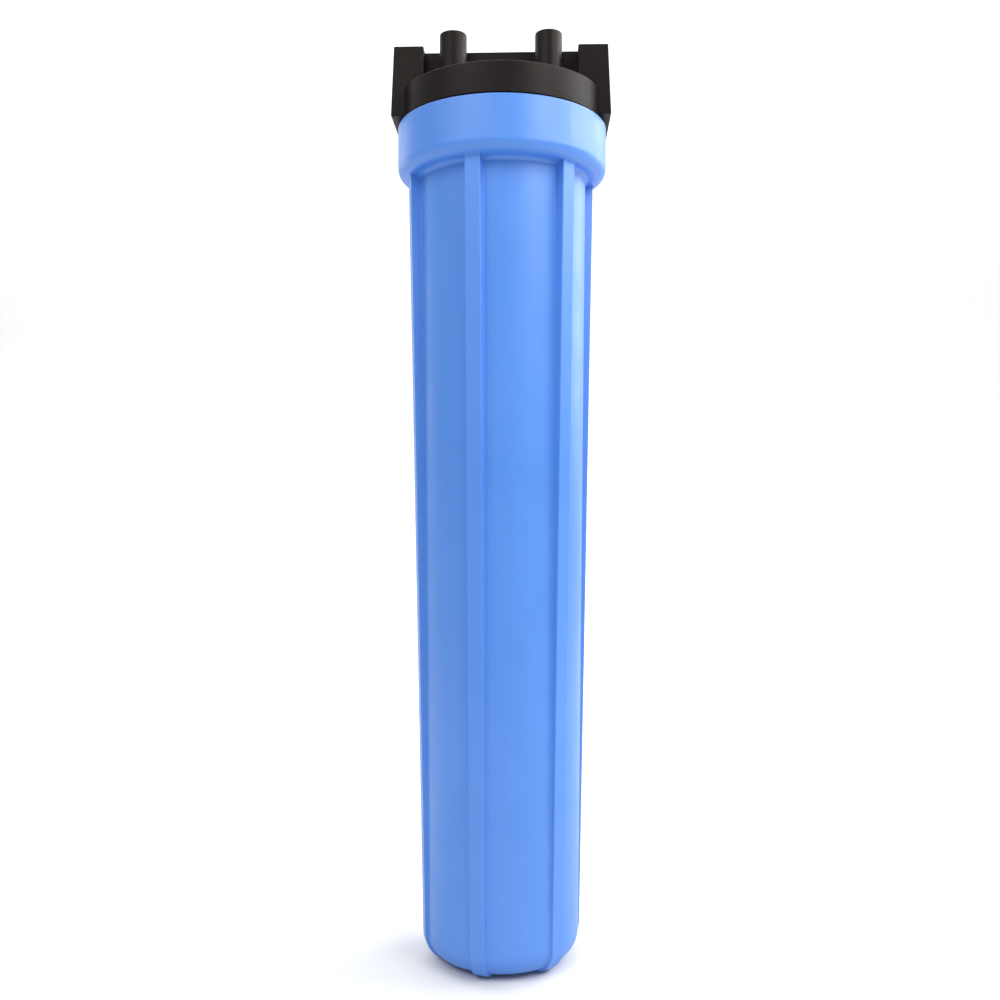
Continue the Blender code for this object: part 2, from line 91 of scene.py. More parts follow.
# Thread between sump and head
FEMALE_ROOT = 0.0562
FEMALE_CREST = 0.0544
MALE_ROOT = 0.054
MALE_CREST = 0.0558
THREAD_LEAD = 0.0052
THREAD_TURNS = 2.0
THREAD_TOP = 0.0152  # centre of the top turn, below HEAD_Z
THREAD_BASE = 0.0029
THREAD_TIP = 0.0013

# Head
FLANGE_R = 0.0634
FLANGE_HEIGHT = 0.0183
LAND_R = 0.0574
LAND_DEPTH = 0.0121
SKIRT_INNER = 0.049
SKIRT_DEPTH = 0.0278
CEILING = 0.009
BLOCK_OUT = 0.0669
BLOCK_IN = 0.0469
BLOCK_HALF = 0.025
BLOCK_LOW = 0.0008
BLOCK_TOP = 0.0431
BLOCK_DRAFT = 0.0019
DUCT_HALF = 0.016
DUCT_REACH = 0.058
DUCT_LOW = 0.0135
DUCT_TOP = 0.0427
PORT_LEVEL = 0.02195
PORT_FACE = BLOCK_OUT - BLOCK_DRAFT / 2  # at the port's own level
PORT_R = 0.0133
PORT_DEPTH = 0.018
PORT_PITCH = 0.001814
PORT_TURNS = 7
PORT_TAPER = 0.035  # the port thread narrows by this share towards its inner end
PORT_THREAD_DEPTH = 0.0158  # of its inner end, behind the face
PASSAGE_R = 0.0095
PASSAGE_START = 0.0486  # just inside the sockets
DROP_X = -0.040375  # the hole that lets the inlet's water down beside the cartridge
DROP_R = 0.007025
BOSS_X = 0.029
BOSS_Y = 0.0222
BOSS_R = 0.0082
BOSS_TOP = 0.0503
PILOT_R = 0.0022
PILOT_DEPTH = 0.018
GUSSET = 0.003
GUSSET_RISE = 0.0095

# Cartridge
CARTRIDGE_R = 0.03175
CORE_BORE = 0.014
CORE_WALL = 0.0025
CAP_WALL = 0.0012
CAP_FLOOR = 0.004
CAP_SKIRT = 0.006
CAP_FACETS = 24  # of the CAD's caps, which the cages fit inside
CAGE_WALL = 0.0009
CAGE_OUT = (CARTRIDGE_R - CAP_WALL) * math.cos(math.pi / CAP_FACETS) - TOUCH_GAP

ROUND = 144  # facets of the large turned shapes
INNER_SPACING = 0.059  # radius that turns a rib's widths into angles where no rib stands
ROUNDING_STEPS = 4
WELD = 2e-5  # neighbouring cells' points this close become one
ON_AXIS = 1e-9  # a smaller radius than this is a point on the axis


# ---------------------------------------------------------------- mesh helpers
def arc(centre, radius, start, end, steps):
    """Points on an arc in the (radius, height) plane, ends included, angles in degrees."""
    points = []
    for i in range(steps + 1):
        a = math.radians(start + (end - start) * i / steps)
        points.append((centre[0] + radius * math.cos(a), centre[1] + radius * math.sin(a)))
    return points


def rounded(profile, closed=True):
    """Rounds a section's corners. A corner is (radius, height) or (radius, height, rounding)."""
    count = len(profile)
    out = []
    for i, corner in enumerate(profile):
        here = Vector(corner[:2])
        size = corner[2] if len(corner) > 2 else 0
        if not size or (not closed and i in (0, count - 1)):
            out.append(tuple(here))
            continue
        before = Vector(profile[i - 1][:2]) - here
        after = Vector(profile[(i + 1) % count][:2]) - here
        start = here + before.normalized() * size
        end = here + after.normalized() * size
        for k in range(ROUNDING_STEPS + 1):
            t = k / ROUNDING_STEPS
            out.append(tuple(start * (1 - t) ** 2 + here * 2 * t * (1 - t) + end * t**2))
    return out


def spun(shape, profile, segments=ROUND, z=0.0, centre=(0, 0), shift=0.0):
    """Adds a section turned round the vertical. An open one starts and ends on the axis.
    shift turns it by that share of a segment, to keep a cutter's points off those it meets."""
    closed = profile[0][0] > ON_AXIS
    rings = []
    for r, h in profile:
        if r <= ON_AXIS:
            rings.append([shape.verts.new((centre[0], centre[1], z + h))])
            continue
        ring = []
        for i in range(segments):
            a = FULL_TURN * (i + shift) / segments
            x, y = centre[0] + r * math.cos(a), centre[1] + r * math.sin(a)
            ring.append(shape.verts.new((x, y, z + h)))
        rings.append(ring)
    pairs = list(zip(rings, rings[1:]))
    if closed:
        pairs.append((rings[-1], rings[0]))
    for low, high in pairs:
        bridge(shape, low, high)


def bridge(shape, low, high):
    """Faces between two rings. Either may be a single point."""
    count = max(len(low), len(high))
    for i in range(count):
        j = (i + 1) % count
        if len(low) == 1:
            shape.faces.new((low[0], high[j], high[i]))
        elif len(high) == 1:
            shape.faces.new((low[i], low[j], high[0]))
        else:
            shape.faces.new((low[i], low[j], high[j], high[i]))


def soft_box(shape, low, high, edge, top_inset=0.0):
    """Adds a box with rounded edges. top_inset leans its outer X side in at the top."""
    size = Vector(high) - Vector(low)
    middle = (Vector(high) + Vector(low)) / 2
    matrix = Matrix.Translation(middle) @ Matrix.Diagonal((*size, 1))
    corners = bmesh.ops.create_cube(shape, size=1, matrix=matrix)["verts"]
    outward = math.copysign(1, middle.x)
    for corner in corners:
        if corner.co.z > middle.z and (corner.co.x - middle.x) * outward > 0:
            corner.co.x -= outward * top_inset
    edges = {e for v in corners for e in v.link_edges}
    bmesh.ops.bevel(shape, geom=list(edges), offset=edge, segments=3, profile=0.5, affect="EDGES")


def helix(name, root, crest, first_z, lead, turns, base, tip, sink=0.0005, steps=96, fade=30):
    """A thread ridge with a rounded crest that fades into its wall at both ends.
    base and tip are its widths, sink how far its foot is buried, and fade an angle in degrees."""
    shape = bmesh.new()
    outward = math.copysign(1, crest - root)
    depth = abs(crest - root)
    section = [(-sink, -base / 2), (0.0, -base / 2 * 0.9)]
    section += [(depth * 0.72, -tip / 2 * 1.15), (depth * 0.93, -tip / 2 * 0.92), (depth, -tip / 2 * 0.55)]
    section += [(h, -w) for h, w in reversed(section)]
    count = round(steps * turns)
    sweep = FULL_TURN * turns
    rows = []
    for i in range(count + 1):
        a = sweep * i / count
        near = min(1.0, a / math.radians(fade), (sweep - a) / math.radians(fade))
        grow = near * near * (3 - 2 * near)
        row = []
        for h, w in section:
            rise = h * grow - sink * 0.5 * (1 - grow) if h > 0 else h
            r = root + outward * rise
            z = first_z + lead * a / FULL_TURN + w * (0.4 + 0.6 * grow)
            row.append(shape.verts.new((r * math.cos(a), r * math.sin(a), z)))
        rows.append(row)
    size = len(section)
    for row, after in zip(rows, rows[1:]):
        for k in range(size):
            shape.faces.new((row[k], row[(k + 1) % size], after[(k + 1) % size], after[k]))
    shape.faces.new(rows[0])
    shape.faces.new(rows[-1])
    return to_mesh(name, shape)


def to_mesh(name, shape):
    bmesh.ops.recalc_face_normals(shape, faces=shape.faces)
    mesh = bpy.data.meshes.new(name)
    shape.to_mesh(mesh)
    shape.free()
    return mesh


def make_piece(name, mesh, material, body, nodes=(), sharp=38):
    """Links a finished piece: smooth, with its finish, on its body, in place of its CAD nodes."""
    mesh.shade_smooth()
    mesh.set_sharp_from_angle(angle=math.radians(sharp))
    mesh.materials.clear()
    mesh.materials.append(material)
    item = bpy.data.objects.new(name, mesh)
    bpy.context.scene.collection.objects.link(item)
    shading = item.modifiers.new("even_shading", "WEIGHTED_NORMAL")
    shading.keep_sharp = True
    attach(item, body)
    if nodes:
        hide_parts(*nodes)
    return item


def combined(base, tool, operation):
    """The mesh left when a tool mesh is joined to a base mesh, or cut from it."""
    a = bpy.data.objects.new("base", base)
    b = bpy.data.objects.new("tool", tool)
    for item in (a, b):
        bpy.context.scene.collection.objects.link(item)
    cut = a.modifiers.new("cut", "BOOLEAN")
    cut.operation = operation
    cut.solver = "EXACT"
    cut.object = b
    bpy.context.view_layer.update()
    result = bpy.data.meshes.new_from_object(a.evaluated_get(bpy.context.evaluated_depsgraph_get()))
    for item, mesh in ((a, base), (b, tool)):
        bpy.data.objects.remove(item, do_unlink=True)
        bpy.data.meshes.remove(mesh)
    return result


# ---------------------------------------------------------------- sump
def rib_section(height):
    """Half of a rib from its crest out to the wall, at this height: (across, above the wall)."""
    edge_rise = min(RIB_EDGE, 0.45 * height)
    fillet_rise = min(RIB_FILLET, 0.45 * height)
    points = [(0.0, height)]
    quarter = [math.pi / 2 * k / ROUNDING_STEPS for k in range(ROUNDING_STEPS + 1)]
    for a in quarter:
        across = RIB_HALF - RIB_DRAFT - RIB_EDGE * (1 - math.sin(a))
        points.append((across, height - edge_rise * (1 - math.cos(a))))
    for a in quarter:
        across = RIB_HALF + RIB_FILLET * (1 - math.cos(a))
        points.append((across, fillet_rise * (1 - math.sin(a))))
    return points


def sump_columns(between=18):
    """Round the sump: ("rib", which, index in its section, side) or ("wall", which, share, side)."""
    count = len(rib_section(RIB_TOP_HEIGHT))
    columns = []
    for i in range(RIBS):
        columns += [("rib", i, k, 1) for k in range(count)]
        columns += [("wall", i, k / between, 1) for k in range(1, between)]
        columns += [("rib", i + 1, k, -1) for k in range(count - 1, 0, -1)]
    return columns


def sump_ring(r, z, out=1, down=0, height=0, spacing=INNER_SPACING):
    """One ring of the sump. out and down say which way a rib of this height stands off the surface there,
    and spacing is the radius that turns the rib section's widths into angles."""
    return r, z, out, down, height, spacing


def base_rings():
    """From the base's centre out: a gate mark in a low round boss, the flat base, the feet's inner ends, and
    the corner with its fine parting line."""
    mark = [(0.0, -0.0002), (0.0022, -0.0002), (0.0025, -0.00005)]
    boss = [(0.0031, 0.0003), (0.0075, 0.0003), (0.0079, 0.0001), (0.0083, 0.0)]
    flat = [(0.014, 0.0), (0.0205, 0.0), (0.0232, 0.0)]
    rings = [sump_ring(r, FOOT_DROP + rise, spacing=FOOT_INNER_R) for r, rise in mark + boss + flat]
    foot = [(-0.0004, 0.0), (-0.00008, 0.0003), (0.0, 0.0007), (0.00008, 0.0012), (0.0003, 0.0015),
            (0.0007, FOOT_DROP), (0.004, FOOT_DROP)]
    for beyond, height in foot:
        r = FOOT_INNER_R + beyond
        rings.append(sump_ring(r, FOOT_DROP, 0, -1, height, r))
    parting = [PARTING_ANGLE + turn for turn in (-1.5, -0.6, 0, 0.6, 1.5)]
    for degrees in [*range(-90, -25, 8), *parting, -12, -6, 0]:
        a = math.radians(degrees)
        inset = PARTING_DEPTH if degrees == PARTING_ANGLE else 0.0
        r = BODY_LOW_R - CORNER_R + (CORNER_R - inset) * math.cos(a)
        z = FOOT_DROP + CORNER_R + (CORNER_R - inset) * math.sin(a)
        rings.append(sump_ring(r, z, math.cos(a), math.sin(a), FOOT_DROP - inset * 0.5, r))
    return rings


def side_rings():
    """Up the tapered side and round the collar's underside. The ribs' crests run straight up into it."""
    low, high = FOOT_DROP + CORNER_R, COLLAR_UNDER - COLLAR_FILLET
    crest_low = BODY_LOW_R + FOOT_DROP
    crest_slope = (BODY_TOP_R + RIB_TOP_HEIGHT - crest_low) / (RIB_TOP_Z - low)
    rings = []
    for t in (0.03, *(k / 10 for k in range(1, 10)), 0.97):
        z = low + (high - low) * t
        r = BODY_LOW_R + (BODY_TOP_R - BODY_LOW_R) * t
        rings.append(sump_ring(r, z, height=crest_low + crest_slope * (z - low) - r, spacing=r))
    under = arc((BODY_TOP_R + COLLAR_FILLET, high), COLLAR_FILLET, 180, 98, 7)
    for r, rise in ((0.0558, 0.00001), (0.0568, 0.00005), (0.0577, 0.0001)):
        under.append((r, COLLAR_UNDER + rise))
    under += arc((COLLAR_R - COLLAR_ROUND, COLLAR_UNDER + COLLAR_ROUND), COLLAR_ROUND, -84, 0, 12)
    for r, z in under:
        flare = max(0.0, min(1.0, (z - COLLAR_UNDER + RIB_FLARE_RISE) / RIB_FLARE_RISE))
        crest = crest_low + crest_slope * (z - low) + RIB_FLARE * (1 - math.sqrt(1 - flare**2))
        rings.append(sump_ring(r, z, height=max(0.0, crest - r), spacing=min(r, INNER_SPACING)))
    return rings


def rim_profile():
    """(radius, z) up the collar's side and over its rim."""
    outer = [(COLLAR_R, COLLAR_UNDER + 0.01435), (COLLAR_R, COLLAR_UNDER + 0.02285), (COLLAR_R, RIM_Z - 0.0009)]
    outer += arc((COLLAR_R - 0.0007, RIM_Z - 0.0007), 0.0007, 0, 90, 4)
    return outer + [(0.0605, RIM_Z)] + arc((LAND_BORE + 0.0006, RIM_Z - 0.0006), 0.0006, 90, 180, 3)


def inside_profile():
    """(radius, z) from the sealing land down: groove, thread bore, ledge, wall, floor, knife edge, spigot."""
    groove_high = RIM_Z - GROOVE_TOP
    groove_low = groove_high - GROOVE_HEIGHT
    thread_z = HEAD_Z - THREAD_TOP
    wall_r = BODY_TOP_R - BODY_WALL
    corner = CORNER_R - BODY_WALL
    seat = FLOOR_Z + SEAT_HEIGHT
    spigot_top = seat + SPIGOT_LENGTH
    points = [
        (LAND_BORE, groove_high),
        (LAND_BORE + 0.0002, groove_high - 0.0001),
        (GROOVE_R - 0.0002, groove_high - 0.0001),
        (GROOVE_R, groove_high - 0.0004),
        (GROOVE_R, groove_low + 0.0004),
        (GROOVE_R - 0.0003, groove_low + 0.0001),
        (LAND_BORE + 0.0002, groove_low + 0.0001),
        (LAND_BORE, groove_low),
        (LAND_BORE, thread_z + 0.0019),
        (FEMALE_ROOT, thread_z + 0.0011),
        (FEMALE_ROOT, LEDGE_Z + 0.0006),
        (FEMALE_ROOT - 0.0004, LEDGE_Z),
        (wall_r + 0.0006, LEDGE_Z - 0.0038),
        (wall_r, LEDGE_Z - 0.005),
        (wall_r - 0.0015, 0.33),
        (wall_r - 0.003, 0.17),
    ]
    points += arc((BODY_LOW_R - CORNER_R, FLOOR_Z + corner), corner, 0, -90, 8)
    knife = [(0.0027, FLOOR_Z), (0.0022, FLOOR_Z + 0.0005), (0.00045, seat - 0.0002), (0.0002, seat)]
    points += [(KNIFE_R + half, z) for half, z in knife]
    points += [(KNIFE_R - half, z) for half, z in reversed(knife)]
    return points + [
        (SPIGOT_R + 0.0006, FLOOR_Z),
        (SPIGOT_R, FLOOR_Z + 0.0006),
        (SPIGOT_R, spigot_top - 0.0009),
        (SPIGOT_R - 0.0007, spigot_top - 0.0001),
        (SPIGOT_R - 0.001, spigot_top),
        (SPIGOT_BORE + 0.0003, spigot_top),
        (SPIGOT_BORE, spigot_top - 0.0003),
        (SPIGOT_BORE, FLOOR_Z + 0.0006),
        (SPIGOT_BORE - 0.0006, FLOOR_Z),
        (0.004, FLOOR_Z),
        (0.0, FLOOR_Z),
    ]


def sump_point(column, around):
    """The point where a column crosses a ring."""
    kind, which, share, side = column
    r, z, out, down, height, spacing = around
    at = RIB_START + which * FULL_TURN / RIBS
    section = rib_section(height)
    if kind == "wall":
        edge = math.asin(section[-1][0] / spacing)
        a = at + edge + (FULL_TURN / RIBS - 2 * edge) * share
        return r * math.cos(a), r * math.sin(a), z
    across, rise = section[share]
    if height <= 0:
        a = at + side * math.asin(across / spacing)
        return r * math.cos(a), r * math.sin(a), z
    flat = rise / height  # 0 on the round wall, 1 on the rib's flat crest
    x = math.sqrt(r * r - across * across) * (1 - flat) + r * flat + out * rise
    y = side * across
    return x * math.cos(at) - y * math.sin(at), x * math.sin(at) + y * math.cos(at), z + down * rise


def sump_mesh():
    """The whole sump as one grid: columns round it, rings from the base's centre out, up, over and in."""
    shape = bmesh.new()
    columns = sump_columns()
    bare = [sump_ring(r, z) for r, z in rim_profile() + inside_profile()]
    rings = []
    for around in base_rings() + side_rings() + bare:
        if around[0] <= ON_AXIS:
            rings.append([shape.verts.new((0, 0, around[1]))])
        else:
            rings.append([shape.verts.new(sump_point(column, around)) for column in columns])
    for low, high in zip(rings, rings[1:]):
        bridge(shape, low, high)
    return to_mesh("sump_shell", shape)


# ---------------------------------------------------------------- head
def head_core():
    """The turned core: flange, sealing land, skirt, ceiling, knife edge and spigot."""
    shape = bmesh.new()
    profile = [
        (0, FLANGE_HEIGHT),
        (FLANGE_R, FLANGE_HEIGHT, 0.0009),
        (FLANGE_R, 0, 0.0005),
        (LAND_R, 0, 0.0003),
        (LAND_R, -LAND_DEPTH, 0.0007),
        (MALE_ROOT, -LAND_DEPTH, 0.0003),
        (MALE_ROOT, -SKIRT_DEPTH, 0.0007),
        (SKIRT_INNER, -SKIRT_DEPTH, 0.0005),
        (SKIRT_INNER, CEILING, 0.0012),
        (KNIFE_R + 0.002, CEILING, 0.0004),
        (KNIFE_R + 0.0003, 0),
        (KNIFE_R - 0.0003, 0),
        (KNIFE_R - 0.002, CEILING, 0.0004),
        (SPIGOT_R, CEILING, 0.0006),
        (SPIGOT_R, -SPIGOT_LENGTH, 0.0009),
        (0, -SPIGOT_LENGTH),
    ]
    spun(shape, rounded(profile, closed=False))
    return to_mesh("head_core", shape)


def boss_places():
    return [(x, y) for x in (-BOSS_X, BOSS_X) for y in (-BOSS_Y, BOSS_Y)]


def head_bosses():
    shape = bmesh.new()
    top = FLANGE_HEIGHT
    rounding, fillet, draft, sunk = 0.0005, 0.0012, 0.0002, 0.003
    profile = [(0, BOSS_TOP)]
    profile += arc((BOSS_R - rounding, BOSS_TOP - rounding), rounding, 90, 0, 3)
    profile += arc((BOSS_R + fillet + draft, top + fillet), fillet, 180, 262, 5)
    profile += [(BOSS_R + fillet + draft, top - sunk), (0, top - sunk)]
    for place in boss_places():
        spun(shape, profile, 48, centre=place)
    return to_mesh("bosses", shape)


def head_gussets():
    shape = bmesh.new()
    foot = (FLANGE_HEIGHT + CEILING) / 2
    outline = [
        (DUCT_HALF - GUSSET, foot),
        (FLANGE_R - GUSSET, foot),
        (FLANGE_R - GUSSET, FLANGE_HEIGHT + 0.0008),
        (DUCT_HALF - GUSSET, FLANGE_HEIGHT + GUSSET_RISE),
    ]
    for turn in (-math.pi / 2, math.pi / 2):
        corners = [shape.verts.new((r, -GUSSET / 2, z)) for r, z in outline]
        face = shape.faces.new(corners)
        grown = bmesh.ops.extrude_face_region(shape, geom=[face])["geom"]
        moved = [item for item in grown if isinstance(item, bmesh.types.BMVert)]
        bmesh.ops.translate(shape, verts=moved, vec=(0, GUSSET, 0))
        bmesh.ops.rotate(shape, verts=corners + moved, cent=(0, 0, 0), matrix=Matrix.Rotation(turn, 3, "Z"))
    bmesh.ops.recalc_face_normals(shape, faces=shape.faces)
    bmesh.ops.bevel(shape, geom=list(shape.edges), offset=0.0005, segments=2, profile=0.5, affect="EDGES")
    return to_mesh("gussets", shape)


def rod_along(name, profile, side, segments=64, shift=0.0):
    """A turned cutter along X at the ports' level. The profile is (radius, distance from the centre)."""
    shape = bmesh.new()
    rings = []
    for r, reach in profile:
        if r <= ON_AXIS:
            rings.append([shape.verts.new((side * reach, 0, PORT_LEVEL))])
            continue
        circle = []
        for i in range(segments):
            a = FULL_TURN * (i + shift) / segments
            circle.append(shape.verts.new((side * reach, r * math.cos(a), PORT_LEVEL + r * math.sin(a))))
        rings.append(circle)
    for low, high in zip(rings, rings[1:]):
        bridge(shape, low, high)
    return to_mesh(name, shape)


def upright_cutter(name, profile, segments, shift, places=((0, 0),)):
    """A turned cutter at each of these places."""
    shape = bmesh.new()
    for place in places:
        spun(shape, profile, segments, centre=place, shift=shift)
    return to_mesh(name, shape)


def duct():
    shape = bmesh.new()
    soft_box(shape, (-DUCT_REACH, -DUCT_HALF, DUCT_LOW), (DUCT_REACH, DUCT_HALF, DUCT_TOP), 0.0008)
    return to_mesh("duct", shape)


def port_block(side):
    shape = bmesh.new()
    ends = sorted((side * BLOCK_OUT, side * BLOCK_IN))
    low, high = (ends[0], -BLOCK_HALF, BLOCK_LOW), (ends[1], BLOCK_HALF, BLOCK_TOP)
    soft_box(shape, low, high, 0.0006, BLOCK_DRAFT)
    return to_mesh("block", shape)


def port_socket(side):
    """A tapered socket with a countersunk mouth."""
    profile = [
        (0, PORT_FACE + 0.002),
        (PORT_R + 0.0032, PORT_FACE + 0.002),
        (PORT_R + 0.0001, PORT_FACE - 0.0012),
        (PORT_R - 0.0006, PORT_FACE - PORT_DEPTH),
        (0, PORT_FACE - PORT_DEPTH),
    ]
    return rod_along("socket", profile, side)


def passage(name, side, end):
    """From a socket to this far from the centre. Its facets are out of step with the socket's."""
    profile = [(0, PASSAGE_START), (PASSAGE_R, PASSAGE_START), (PASSAGE_R, end), (0, end)]
    return rod_along(name, profile, side, 60, 0.37)


def inlet_drop():
    foot = CEILING - 0.001
    profile = [(0, PORT_LEVEL), (DROP_R, PORT_LEVEL), (DROP_R, foot), (0, foot)]
    return upright_cutter("drop", profile, 46, 0.21, [(DROP_X, 0)])


def outlet_bore():
    """From the outlet's passage down through the spigot."""
    foot = -SPIGOT_LENGTH - 0.001
    profile = [(0, PORT_LEVEL), (SPIGOT_BORE, PORT_LEVEL), (SPIGOT_BORE, foot), (0, foot)]
    return upright_cutter("bore", profile, 62, 0.29)


def pilot_holes():
    profile = [
        (0, BOSS_TOP + 0.001),
        (PILOT_R + 0.0016, BOSS_TOP + 0.001),
        (PILOT_R + 0.0006, BOSS_TOP),
        (PILOT_R, BOSS_TOP - 0.0006),
        (PILOT_R, BOSS_TOP - PILOT_DEPTH + 0.001),
        (0, BOSS_TOP - PILOT_DEPTH),
    ]
    return upright_cutter("pilots", profile, 32, 0.43, boss_places())


def head_mesh():
    """The head as one moulding: its core joined to duct, blocks, bosses and gussets, then bored."""
    mesh = head_core()
    for added in (duct(), port_block(-1), port_block(1), head_bosses(), head_gussets()):
        mesh = combined(mesh, added, "UNION")
    cutters = [port_socket(-1), port_socket(1), passage("inlet", -1, -DROP_X - DROP_R + 0.0006), inlet_drop(),
               passage("outlet", 1, -0.0072), outlet_bore(), pilot_holes()]
    for cutter in cutters:
        mesh = combined(mesh, cutter, "DIFFERENCE")
    mesh.transform(Matrix.Translation((0, 0, HEAD_Z)))
    mesh.name = "head_body"
    return mesh


# ---------------------------------------------------------------- materials
def new_material(name, roughness, specular=0.5):
    material = bpy.data.materials.new(name)
    material.use_nodes = True
    tree = material.node_tree
    shader = tree.nodes["Principled BSDF"]
    shader.inputs["Roughness"].default_value = roughness
    shader.inputs["Specular IOR Level"].default_value = specular
    place = tree.nodes.new("ShaderNodeTexCoord")
    return material, tree, shader, place.outputs["Object"]


def stretched(tree, vector, scale):
    mapping = tree.nodes.new("ShaderNodeMapping")
    mapping.inputs["Scale"].default_value = scale
    tree.links.new(vector, mapping.inputs["Vector"])
    return mapping.outputs["Vector"]


def noise(tree, vector, scale, detail=3.0, roughness=0.55):
    node = tree.nodes.new("ShaderNodeTexNoise")
    node.inputs["Scale"].default_value = scale
    node.inputs["Detail"].default_value = detail
    node.inputs["Roughness"].default_value = roughness
    tree.links.new(vector, node.inputs["Vector"])
    return node.outputs["Fac"]


def ramp(tree, value, low, high, out_low, out_high):
    node = tree.nodes.new("ShaderNodeMapRange")
    node.inputs["From Min"].default_value = low
    node.inputs["From Max"].default_value = high
    node.inputs["To Min"].default_value = out_low
    node.inputs["To Max"].default_value = out_high
    tree.links.new(value, node.inputs["Value"])
    return node.outputs["Result"]


def blended(tree, factor, first, second):
    """A colour between two: each is a socket or an RGB triple."""
    node = tree.nodes.new("ShaderNodeMix")
    node.data_type = "RGBA"
    tree.links.new(factor, node.inputs["Factor"])
    for socket, colour in ((node.inputs[6], first), (node.inputs[7], second)):
        if isinstance(colour, tuple):
            socket.default_value = (*colour, 1)
        else:
            tree.links.new(colour, socket)
    return node.outputs[2]


def bumped(tree, shader, heights):
    """Stacks bump layers: (height socket, strength, distance)."""
    last = None
    for height, strength, distance in heights:
        node = tree.nodes.new("ShaderNodeBump")
        node.inputs["Strength"].default_value = strength
        node.inputs["Distance"].default_value = distance
        tree.links.new(height, node.inputs["Height"])
        if last:
            tree.links.new(last, node.inputs["Normal"])
        last = node.outputs["Normal"]
    tree.links.new(last, shader.inputs["Normal"])


def moulded_plastic(name, dark, light, fleck, roughness, swing, grain, grain_depth, specular=0.5):
    """Injection-moulded plastic: cloudy colour, faint upright flow marks, specks, satin grain."""
    material, tree, shader, at = new_material(name, roughness, specular)
    cloud = ramp(tree, noise(tree, at, 14, 4), 0.3, 0.7, 0, 1)
    flow = ramp(tree, noise(tree, stretched(tree, at, (1, 1, 0.06)), 160, 3), 0.35, 0.65, 0, 1)
    speck = ramp(tree, noise(tree, at, 1500, 1), 0.66, 0.74, 0, 0.35)
    colour = blended(tree, cloud, dark, light)
    colour = blended(tree, ramp(tree, flow, 0, 1, 0.0, 0.22), colour, light)
    colour = blended(tree, speck, colour, fleck)
    tree.links.new(colour, shader.inputs["Base Color"])
    uneven = ramp(tree, noise(tree, at, 45, 5), 0.3, 0.7, roughness - swing, roughness + swing)
    tree.links.new(uneven, shader.inputs["Roughness"])
    bumped(tree, shader, [
        (noise(tree, at, grain, 2, 0.6), 0.35, grain_depth),
        (noise(tree, at, 55, 2), 0.25, 0.00025),
    ])
    return material


def rubber(name):
    material, tree, shader, at = new_material(name, 0.6, 0.4)
    dust = ramp(tree, noise(tree, at, 90, 5), 0.45, 0.75, 0, 0.5)
    colour = blended(tree, dust, (0.012, 0.012, 0.013), (0.045, 0.044, 0.042))
    tree.links.new(colour, shader.inputs["Base Color"])
    tree.links.new(ramp(tree, dust, 0, 0.5, 0.5, 0.78), shader.inputs["Roughness"])
    bumped(tree, shader, [(noise(tree, at, 1800, 2), 0.3, 0.00005)])
    return material


def foam(name):
    material, tree, shader, at = new_material(name, 0.85, 0.25)
    cell = tree.nodes.new("ShaderNodeTexVoronoi")
    cell.inputs["Scale"].default_value = 1400
    tree.links.new(at, cell.inputs["Vector"])
    pit_relief_and_painted_shade = ramp(tree, cell.outputs["Distance"], 0.1, 0.7, 0, 1)
    shade = ramp(tree, noise(tree, at, 60, 4), 0.3, 0.7, 0, 1)
    # painted shade: the cells' hollows, where the bump is low, are coloured darker than their walls
    colour = blended(tree, pit_relief_and_painted_shade, (0.72, 0.70, 0.65), (0.86, 0.85, 0.81))
    colour = blended(tree, ramp(tree, shade, 0, 1, 0, 0.3), colour, (0.66, 0.63, 0.56))
    tree.links.new(colour, shader.inputs["Base Color"])
    bumped(tree, shader, [(pit_relief_and_painted_shade, 0.5, 0.0001)])
    return material


def fleece(name):
    """Spun polyester: crossed fibres a few tenths of a millimetre apart, with painted shade darkening the gaps
    between them, and slightly soiled in random patches.
    """
    material, tree, shader, at = new_material(name, 0.92, 0.2)
    across = noise(tree, stretched(tree, at, (1, 1, 0.15)), 2600, 3, 0.7)
    along = noise(tree, stretched(tree, at, (0.25, 0.25, 1)), 2600, 3, 0.7)
    mix = tree.nodes.new("ShaderNodeMath")
    mix.operation = "ADD"
    tree.links.new(across, mix.inputs[0])
    tree.links.new(along, mix.inputs[1])
    fibre_relief_and_painted_shade = ramp(tree, mix.outputs[0], 0.75, 1.25, 0, 1)
    stain = ramp(tree, noise(tree, at, 30, 4), 0.35, 0.7, 0, 0.45)
    # painted shade: darker where the fibre bump is low, between the fibres
    colour = blended(tree, fibre_relief_and_painted_shade, (0.70, 0.72, 0.72), (0.87, 0.88, 0.88))
    colour = blended(tree, stain, colour, (0.72, 0.70, 0.64))
    tree.links.new(colour, shader.inputs["Base Color"])
    bumped(tree, shader, [(fibre_relief_and_painted_shade, 0.55, 0.00012)])
    return material


sump_blue = moulded_plastic(
    "sump_blue_moulded", (0.058, 0.214, 0.655), (0.070, 0.234, 0.695), (0.12, 0.29, 0.78),
    0.43, 0.05, 1300, 0.00004, 0.72
)
head_black = moulded_plastic(
    "head_black_moulded", (0.0052, 0.0038, 0.0036), (0.0090, 0.0069, 0.0064), (0.030, 0.026, 0.024),
    0.46, 0.07, 1100, 0.00006, 0.16
)
head_black.node_tree.nodes["Principled BSDF"].inputs["Specular Tint"].default_value = (1.0, 0.92, 0.89, 1)
cap_white = moulded_plastic(
    "end_cap_moulded", (0.78, 0.79, 0.80), (0.86, 0.87, 0.88), (0.70, 0.70, 0.70), 0.46, 0.06, 1500, 0.00003
)
core_white = moulded_plastic(
    "core_moulded", (0.80, 0.81, 0.81), (0.88, 0.89, 0.89), (0.72, 0.72, 0.72), 0.42, 0.06, 1500, 0.00003
)
cage_white = moulded_plastic(
    "cage_moulded", (0.76, 0.78, 0.80), (0.85, 0.87, 0.89), (0.70, 0.71, 0.72), 0.50, 0.06, 1700, 0.00003
)
seal_rubber = rubber("seal_rubber_dusty")
gasket_foam = foam("gasket_foam_cellular")
pleat_fabric = fleece("pleat_spun_polyester")


